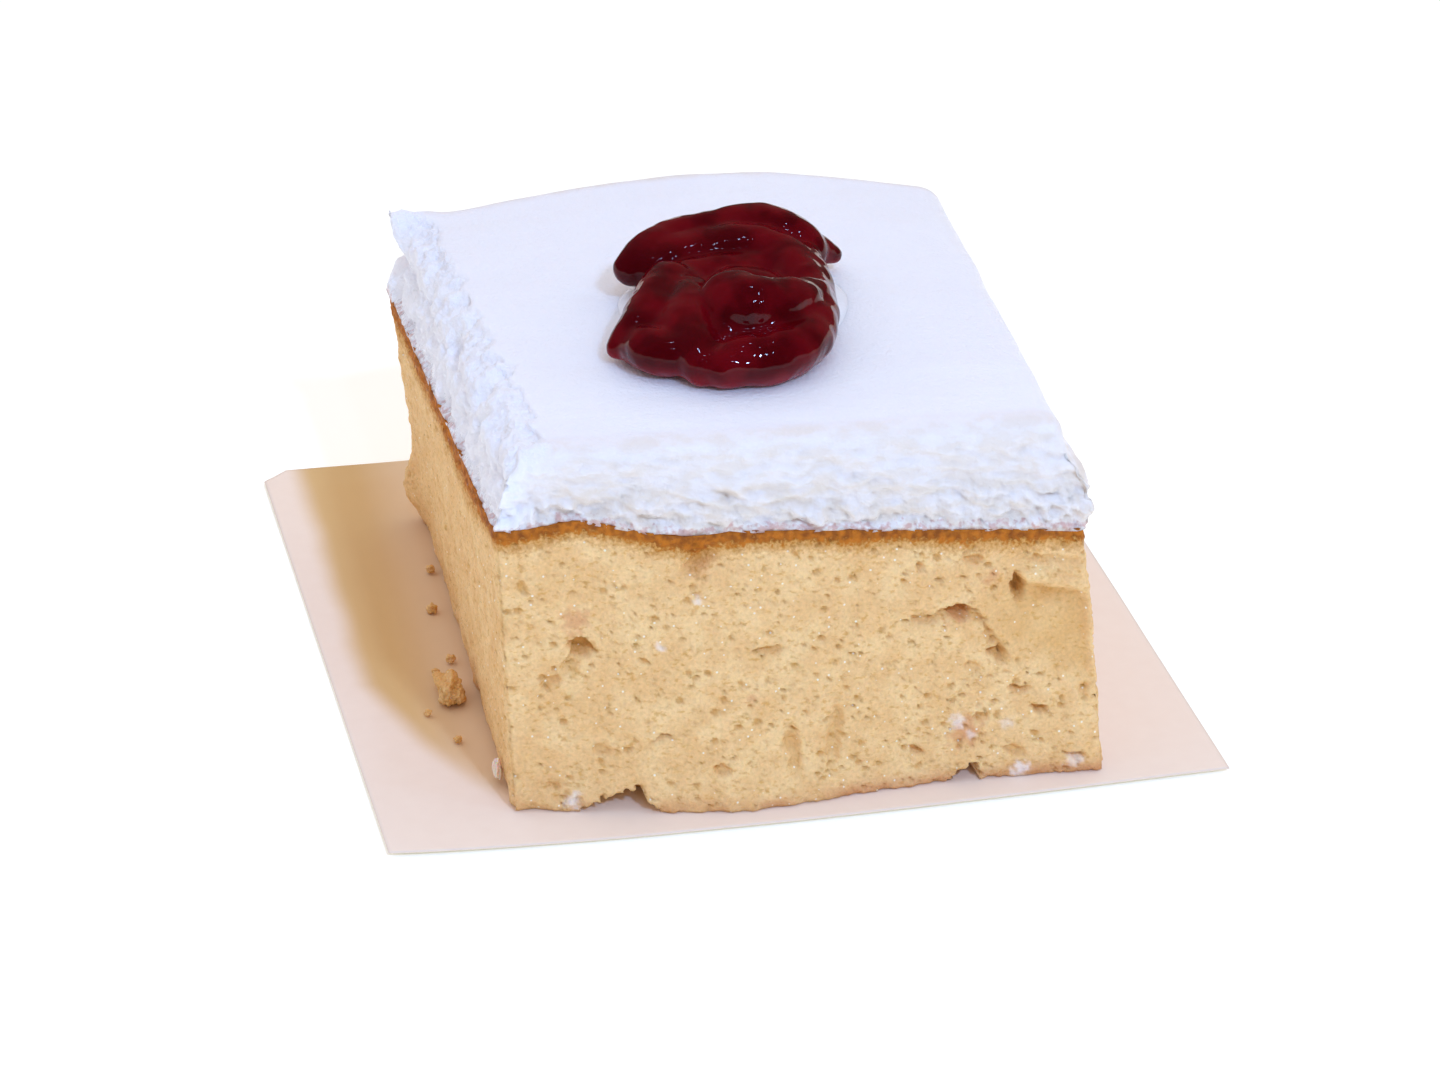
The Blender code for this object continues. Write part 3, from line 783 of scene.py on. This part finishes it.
def thin_cream_material():
    """A thin wet smear of cream that the sponge shows through."""
    material, _, shader, _ = new_material("thin wet cream")
    set_node(shader, {"Base Color": linear_colour("#eddccb"), "Roughness": 0.25, "Subsurface Weight": 0.6,
                      "Subsurface Scale": 1.5 * MM})
    return material


# Jam

# Each fold is a roll along points (x, y, height over JAM_FOOT, radius).
JAM_FOLDS = {
    "back_roll": ((-13.5, -6.5, 4.0, 2.4), (-11.4, -5.2, 4.8, 3.3), (-7.2, -1.8, 5.2, 3.5),
                  (-2.2, -1.0, 5.5, 3.9), (3.7, 0.1, 5.6, 4.2), (8.7, -1.7, 5.2, 3.7),
                  (10.4, -4.6, 4.4, 2.9)),
    "back_slope": ((-10.6, -6.6, 4.2, 3.4), (-5.8, -5.4, 4.5, 3.8), (-0.5, -4.4, 4.6, 4.2),
                   (4.5, -5.6, 4.6, 4.0), (6.8, -10.0, 4.3, 3.8), (7.6, -15.0, 3.8, 3.5)),
    "back_right_lobe": ((11.8, -2.2, 4.0, 2.4), (15.0, -1.8, 2.8, 1.3)),
    "left_lobe": ((-10.2, -14.2, 4.4, 3.4), (-13.5, -21.0, 3.5, 3.7), (-16.5, -24.3, 2.2, 2.9),
                  (-18.7, -25.2, 1.2, 1.6)),
    "left_front": ((-16.7, -25.6, 1.8, 2.6), (-15.3, -28.8, 2.1, 3.0), (-13.3, -30.3, 2.2, 3.1)),
    "middle_lobe": ((-8.2, -18.6, 4.4, 3.3), (-9.8, -25.2, 3.8, 3.6), (-9.9, -30.4, 2.6, 3.6),
                    (-9.5, -33.1, 1.8, 3.0)),
    "front_lip": ((-7.3, -34.6, 1.8, 2.7), (-4.7, -34.1, 2.2, 3.3), (0.2, -33.3, 2.5, 3.5),
                  (4.7, -28.9, 2.8, 3.5), (7.5, -21.4, 3.2, 3.3), (8.6, -13.3, 3.6, 3.2),
                  (8.9, -7.3, 4.0, 3.1)),
    "filling": ((4.0, -9.5, 2.2, 4.4), (-4.0, -10.0, 2.2, 4.6), (-8.0, -13.0, 2.2, 4.6),
                (-11.0, -19.5, 1.8, 4.4), (-12.0, -26.5, 1.2, 4.2), (-5.5, -28.5, 2.8, 3.4),
                (-1.0, -28.8, 3.05, 3.3), (3.6, -25.2, 3.1, 3.3), (3.5, -17.0, 1.8, 4.2),
                (-1.5, -15.0, 2.4, 4.6), (-4.5, -20.5, 1.2, 4.6)),
    "tongue": ((-4.1, -24.5, 6.2, 4.1), (-2.4, -26.8, 6.3, 4.3), (0.8, -26.9, 6.1, 4.0),
               (4.1, -24.9, 6.0, 3.1), (6.7, -22.3, 5.8, 2.2), (8.9, -20.7, 5.6, 1.2)),
}


def roll_points(points, step_length):
    """Even samples of a smooth curve through the points, each with its radius."""
    samples = []
    last = len(points) - 1
    for index in range(last):
        before, start, end, after = (Vector(points[clamp(index + k, 0, last)]) for k in (-1, 0, 1, 2))
        steps = max(2, round((end - start).length / step_length))
        for step in range(steps):
            t = step / steps
            bend = (2 * start + (end - before) * t + (2 * before - 5 * start + 4 * end - after) * t ** 2
                    + (3 * start - before - 3 * end + after) * t ** 3)
            samples.append(bend * 0.5)
    samples.append(Vector(points[-1]))
    return samples


def build_jam(settings):
    """All folds as chains of balls that a remesh fuses into one glossy skin."""
    deselect_all()
    bpy.ops.mesh.primitive_ico_sphere_add(subdivisions=4, radius=1.0)
    pattern = bpy.context.object
    for points in JAM_FOLDS.values():
        for x, y, height, radius in roll_points(points, settings.ball_step / MM):
            ball = bpy.data.objects.new("fold_ball", pattern.data.copy())
            centre = metres(x, y, JAM_FOOT + height)
            ball.data.transform(Matrix.Translation(centre) @ Matrix.Scale(radius * MM, 4))
            bpy.context.collection.objects.link(ball)
            ball.select_set(True)
    bpy.context.view_layer.objects.active = ball
    bpy.data.objects.remove(pattern)
    bpy.ops.object.join()
    jam = bpy.context.object
    apply_modifier(jam, "REMESH", mode="VOXEL", voxel_size=settings.voxel)
    apply_modifier(jam, "SMOOTH", factor=0.5, iterations=20)
    lumpy = settings.lumpiness / MM
    normals = [vert.normal.copy() for vert in jam.data.vertices]
    for vert, normal in zip(jam.data.vertices, normals):
        x, y, z = vert.co / MM
        lump = lumpy * (wander(x, y, z, 4.0) + 0.5 * wander(x, y, z, 2.5, 5.0))
        x, y, z = vert.co / MM + normal * lump
        vert.co = metres(x, y, max(z, cream_top_at(x, y) - JAM_SINK))
    mark(jam, "thin", lambda x, y, z: ease(z - cream_top_at(x, y), 3.0, 0.2))
    finish_piece(jam, "berry_jam", jam_material(settings), "jam")


def jam_material(settings):
    """Cooked berry jam: a dark clear gel, wet and mirror smooth, redder where it is thin."""
    material, tree, shader, place = new_material("cooked berry jam")
    thin = add_node(tree, "Attribute", {"attribute_name": "thin"}, "Fac")
    fruit = add_node(tree, "TexNoise", {"Vector": place, "Scale": per_metre(5.0), "Detail": 2.0})
    clear = add_node(tree, "MapRange", {"Value": fruit, "From Min": 0.4, "From Max": 0.62})
    share = add_node(tree, "Math", {"operation": "MULTIPLY_ADD", 0: clear, 1: 0.3, 2: thin})
    colour = add_node(tree, "Mix", {"data_type": "RGBA", 0: share, 6: settings.body_colour[:],
                                    7: settings.thin_colour[:]}, 2)
    waves = add_node(tree, "TexNoise", {"Vector": place, "Scale": per_metre(2.6), "Detail": 1.0})
    skin = add_node(tree, "Bump", {"Strength": 0.5, "Distance": 0.6 * MM, "Height": waves})
    set_node(shader, {"Base Color": colour, "Normal": skin, "Roughness": 0.04, "IOR": 1.4,
                      "Specular IOR Level": 0.26, "Subsurface Weight": 0.4,
                      "Subsurface Radius": (1.0, 0.05, 0.05), "Subsurface Scale": 2.5 * MM})
    return material


# Paper

def paper_edge(u, v, settings):
    """The sheet's plan with its bowed front edge."""
    x, y = corner_point(PAPER_CORNERS, u, v)
    bow = PAPER_FRONT_BOW * math.sin(math.pi * u ** 0.75) * (1 - v) ** 4
    rim = max(ease(min(u, 1 - u), 0.12, 0.0), ease(min(v, 1 - v), 0.12, 0.0))
    wave = settings.ripple / MM * rim * (1.0 + wander(x, y, 0.0, 16.0))
    return x, y - bow, wave


def build_paper(settings):
    deselect_all()
    bpy.ops.mesh.primitive_grid_add(x_subdivisions=PAPER_CELLS, y_subdivisions=PAPER_CELLS, size=1.0,
                                    location=(0.5, 0.5, 0.0))
    sheet = bpy.context.object
    bpy.ops.object.transform_apply(location=True, rotation=False, scale=False)
    thickness = settings.sheet_thickness / MM
    for vert in sheet.data.vertices:
        x, y, wave = paper_edge(vert.co.x, vert.co.y, settings)
        vert.co = metres(x, y, PAPER_THICK - thickness + wave)
    corner = Vector(PAPER_TORN_CORNER)
    cut = corner - Vector(PAPER_CORNERS[3])
    bpy.ops.object.mode_set(mode="EDIT")
    bpy.ops.mesh.select_all(action="SELECT")
    bpy.ops.mesh.bisect(plane_co=metres(corner.x, corner.y, 0.0), plane_no=(-cut.y, cut.x, 0.0),
                        clear_outer=True)
    bpy.ops.object.mode_set(mode="OBJECT")
    apply_modifier(sheet, "SOLIDIFY", thickness=settings.sheet_thickness, offset=1.0)
    mark(sheet, "soaked", shadow_soak_share)
    finish_piece(sheet, "greaseproof_sheet", paper_material(settings), "paper_sheet")


def shadow_soak_share(x, y, z):
    """Up to 1 in a painted cast shadow of the cake along its left side, which also stands for butter soaked
    into the paper.
    """
    # The painted shadow's outer edge follows the shape of the cake's cast shadow; it is paler next to the
    # cake.
    if y > -15.0:
        rim = -51.0 - 0.05 * (y + 15.0)
    else:
        rim = mix(-37.0, -51.0, clamp((y + 46.0) / 31.0) ** 0.8)
    rim += 0.5 * wander(x, y, 0.0, 9.0)
    deep = 0.9 - 0.35 * ease(x, -47.0, -38.0)
    return deep * ease(x, rim - 2.2, rim + 2.2) * ease(y, -50.0, -42.0) * ease(x, -20.0, -32.0)


def paper_material(settings):
    """Greaseproof paper: thin, faintly mottled, with a dull sheen, and an amber painted shadow of the cake
    that also stands for butter soaked in.
    """
    material, tree, shader, place = new_material("greaseproof paper")
    soaked = add_node(tree, "Attribute", {"attribute_name": "soaked"}, "Fac")
    fibre = add_node(tree, "TexNoise", {"Vector": place, "Scale": per_metre(2.5), "Detail": 6.0})
    sheet = add_node(tree, "Mix", {"data_type": "RGBA", 0: fibre, 6: settings.paper_colour[:],
                                   7: linear_colour("#f5e1cf")}, 2)
    # Painted shadow: amber tint where the cake's shadow lies, also standing for butter soaked into the paper.
    colour = add_node(tree, "Mix", {"data_type": "RGBA", 0: soaked, 6: sheet, 7: linear_colour("#d9b06c")}, 2)
    tooth = add_node(tree, "Bump", {"Strength": 0.1, "Distance": 0.1 * MM, "Height": fibre})
    set_node(shader, {"Base Color": colour, "Normal": tooth, "Roughness": 0.55})
    return material


# Morsels

def morsel(centre, radii, seed, rough):
    """A torn morsel with a flat foot on the paper."""
    deselect_all()
    bpy.ops.mesh.primitive_ico_sphere_add(subdivisions=5, radius=1.0)
    ball = bpy.context.object
    for vert in ball.data.vertices:
        co = vert.co
        lump = 1.0 + 0.45 * noise.noise(co * 1.4 + Vector((seed, 0.0, 0.0)))
        lump += rough * (noise.noise(co * 5.0) + 0.6 * noise.noise(co * 11.0))
        x, y, z = (middle + axis * lump * radius for middle, axis, radius in zip(centre, co, radii))
        vert.co = metres(x, y, max(PAPER_THICK, z))
    return ball


# Small crumbs on the paper beside the chunk: centre and radius.
SMALL_CRUMBS = (((-39.6, 4.0, 1.0), 0.7), ((-38.9, -10.8, 1.0), 0.6), ((-41.3, -13.8, 0.9), 0.5),
                ((-40.6, -32.0, 0.9), 0.5), ((-38.4, 16.0, 1.0), 0.6), ((-43.6, -24.6, 0.9), 0.45))


def build_morsels():
    chunk = morsel((-40.2, -20.2, 1.9), (1.9, 3.4, 1.6), 3.0, 0.16)
    crumbs = [morsel(centre, (radius, radius * 1.2, radius * 0.9), centre[0], 0.12)
              for centre, radius in SMALL_CRUMBS]
    only(chunk)
    for crumb in crumbs:
        crumb.select_set(True)
    bpy.ops.object.join()
    for name, value in (("under_crust", 9.0), ("stain", 0.0), ("smear", 0.0)):
        store(chunk, name, [value] * len(chunk.data.vertices))
    mark(chunk, "depth", lambda x, y, z: clamp(0.5 + 0.6 * wander(x, y, z, 1.2)))
    finish_piece(chunk, "loose_chunk", bpy.data.materials["butter sponge crumb"],
                 "sponge_crumb_chunk")
    drip = morsel((-36.9, -42.6, 2.4), (0.55, 1.4, 1.3), 7.0, 0.05)
    finish_piece(drip, "cream_drop", thin_cream_material(), "cream_drip")


# Stage

def add_area_light(name, place, size, power, colour):
    """A round lamp, its place and size in metres, that faces the cake."""
    light = bpy.data.lights.new(name, "AREA")
    light.shape = "DISK"
    light.size = size
    light.energy = power
    light.color = linear_colour(colour)[:3]
    lamp = bpy.data.objects.new(name, light)
    bpy.context.scene.collection.objects.link(lamp)
    lamp.location = place
    lamp.rotation_euler = (metres(*LIGHTS_MEET) - Vector(place)).to_track_quat("-Z", "Y").to_euler()


def add_floor(settings):
    deselect_all()
    bpy.ops.mesh.primitive_plane_add(size=settings.floor_size, location=(0.0, 0.0, -FLOOR_DROP * MM))
    floor = bpy.context.object
    floor.name = "pale_floor"
    material, _, shader, _ = new_material("matt studio floor")
    set_node(shader, {"Base Color": settings.floor_colour[:], "Roughness": 0.9,
                      "Emission Color": linear_colour("#f5ffcd"), "Emission Strength": 0.15})
    floor.data.materials.append(material)


def add_world(settings):
    """Soft light from all round, stronger from behind the cake and dim where the pieces mirror it."""
    world = bpy.data.worlds.new("soft studio")
    world.use_nodes = True
    tree = world.node_tree
    generated = add_node(tree, "TexCoord", {}, "Generated")
    along_x, along_y = (add_node(tree, "SeparateXYZ", {0: generated}, axis) for axis in "XY")
    sideways = add_node(tree, "MapRange", {"Value": along_x, "From Min": 0.2, "From Max": -0.9})
    sides = add_node(tree, "Mix", {"data_type": "RGBA", 0: sideways, 6: settings.fill_colour[:],
                                   7: linear_colour("#f4f2ff")}, 2)
    depth = add_node(tree, "MapRange", {"Value": along_y, "From Min": -0.75, "From Max": 0.5,
                                        "To Min": 0.44, "To Max": 1.14})
    glossy = add_node(tree, "LightPath", {}, "Is Glossy Ray")
    mirrored = add_node(tree, "MapRange", {"Value": glossy, "To Min": 1.0, "To Max": 0.12})
    strength = add_node(tree, "Math", {"operation": "MULTIPLY", 0: depth, 1: mirrored})
    set_node(tree.nodes["Background"], {"Color": sides, "Strength": strength})
    bpy.context.scene.world = world


def add_camera():
    """The photograph's camera."""
    azimuth, elevation, roll = (math.radians(angle)
                                for angle in (CAMERA_AZIMUTH, CAMERA_ELEVATION, CAMERA_ROLL))
    forward = Vector((math.sin(azimuth) * math.cos(elevation), math.cos(azimuth) * math.cos(elevation),
                      -math.sin(elevation)))
    level = Vector((math.cos(azimuth), -math.sin(azimuth), 0.0))
    upward = level.cross(forward)
    right = math.cos(roll) * level - math.sin(roll) * upward
    turned_up = math.sin(roll) * level + math.cos(roll) * upward
    matrix = Matrix((right, turned_up, -forward)).transposed().to_4x4()
    matrix.translation = metres(*CAMERA_PLACE)
    data = bpy.data.cameras.new("camera")
    data.lens = CAMERA_LENS
    data.sensor_width = CAMERA_SENSOR
    data.clip_start = 0.01
    camera = bpy.data.objects.new("camera", data)
    camera.matrix_world = matrix
    bpy.context.scene.collection.objects.link(camera)
    bpy.context.scene.camera = camera


# The lamps stand at places in metres and all face one point of the cake, given in millimetres.
LIGHTS_MEET = (0.0, -8.0, 25.0)
KEY_LIGHT = (0.17, -0.85, 0.80)
KEY_SIZE = 0.08

# Small lamps whose reflections make the wet glints.
GLINT_LIGHTS = ((0.0, -0.9, 0.72), (0.36, -0.8, 0.84), (-0.2, -0.75, 0.95), (0.1, -0.4, 1.1),
                (-0.1, -0.1, 1.2), (0.3, -0.25, 1.15))
GLINT_SIZE = 0.05
GLINT_POWER = 0.6


def build_stage(settings):
    add_floor(settings)
    add_area_light("key", KEY_LIGHT, KEY_SIZE, settings.key_power, "#a8ccff")
    for index, place in enumerate(GLINT_LIGHTS):
        add_area_light(f"glint_{index}", place, GLINT_SIZE, GLINT_POWER, "#a8d0ff")
    add_world(settings)
    add_camera()
    bpy.context.scene.view_settings.view_transform = "Standard"


class MILKCAKE_OT_sponge(bpy.types.Operator):
    """Build the sponge block with its crumb, crust and tears"""

    bl_idname = "milkcake.sponge"
    bl_label = "Sponge"

    def execute(self, context):
        build_sponge(context.scene.milk_cake_sponge)
        return {"FINISHED"}


class MILKCAKE_OT_cream(bpy.types.Operator):
    """Spread the whipped cream over the sponge"""

    bl_idname = "milkcake.cream"
    bl_label = "Cream layer"

    def execute(self, context):
        build_cream(context.scene.milk_cake_cream)
        return {"FINISHED"}


class MILKCAKE_OT_dollop(bpy.types.Operator):
    """Set the round cushion of cream under the jam"""

    bl_idname = "milkcake.dollop"
    bl_label = "Cream dollop"

    def execute(self, context):
        build_dollop(context.scene.milk_cake_cream)
        return {"FINISHED"}


class MILKCAKE_OT_jam(bpy.types.Operator):
    """Fold the spoonful of jam over the dollop"""

    bl_idname = "milkcake.jam"
    bl_label = "Jam"

    def execute(self, context):
        build_jam(context.scene.milk_cake_jam)
        return {"FINISHED"}


class MILKCAKE_OT_paper(bpy.types.Operator):
    """Lay the square sheet of paper under the cake"""

    bl_idname = "milkcake.paper"
    bl_label = "Paper sheet"

    def execute(self, context):
        build_paper(context.scene.milk_cake_paper)
        return {"FINISHED"}


class MILKCAKE_OT_morsels(bpy.types.Operator):
    """Drop the loose morsels beside the cake"""

    bl_idname = "milkcake.morsels"
    bl_label = "Morsels"

    def execute(self, context):
        build_morsels()
        return {"FINISHED"}


class MILKCAKE_OT_stage(bpy.types.Operator):
    """Set the floor, the lights and the camera"""

    bl_idname = "milkcake.stage"
    bl_label = "Stage"

    def execute(self, context):
        build_stage(context.scene.milk_cake_stage)
        return {"FINISHED"}


class MILKCAKE_PT_panel(bpy.types.Panel):
    bl_idname = "MILKCAKE_PT_panel"
    bl_label = "Milk Cake"
    bl_space_type = "VIEW_3D"
    bl_region_type = "UI"
    bl_category = "Milk Cake"

    def draw(self, context):
        for operator in OPERATORS:
            self.layout.operator(operator.bl_idname)


SETTINGS = {
    "milk_cake_sponge": MilkCakeSponge,
    "milk_cake_cream": MilkCakeCream,
    "milk_cake_jam": MilkCakeJam,
    "milk_cake_paper": MilkCakePaper,
    "milk_cake_stage": MilkCakeStage,
}

OPERATORS = (MILKCAKE_OT_stage, MILKCAKE_OT_paper, MILKCAKE_OT_sponge, MILKCAKE_OT_cream,
             MILKCAKE_OT_dollop, MILKCAKE_OT_jam, MILKCAKE_OT_morsels)


def register():
    for name, group in SETTINGS.items():
        bpy.utils.register_class(group)
        setattr(bpy.types.Scene, name, bpy.props.PointerProperty(type=group))
    for operator in OPERATORS:
        bpy.utils.register_class(operator)
    bpy.utils.register_class(MILKCAKE_PT_panel)


def unregister():
    bpy.utils.unregister_class(MILKCAKE_PT_panel)
    for operator in reversed(OPERATORS):
        bpy.utils.unregister_class(operator)
    for name, group in reversed(SETTINGS.items()):
        delattr(bpy.types.Scene, name)
        bpy.utils.unregister_class(group)


def main():
    register()
    bpy.ops.milkcake.stage()
    bpy.ops.milkcake.paper()
    bpy.ops.milkcake.sponge()
    bpy.ops.milkcake.cream()
    bpy.ops.milkcake.dollop()
    bpy.ops.milkcake.jam()
    bpy.ops.milkcake.morsels()


if __name__ == "__main__":
    main()
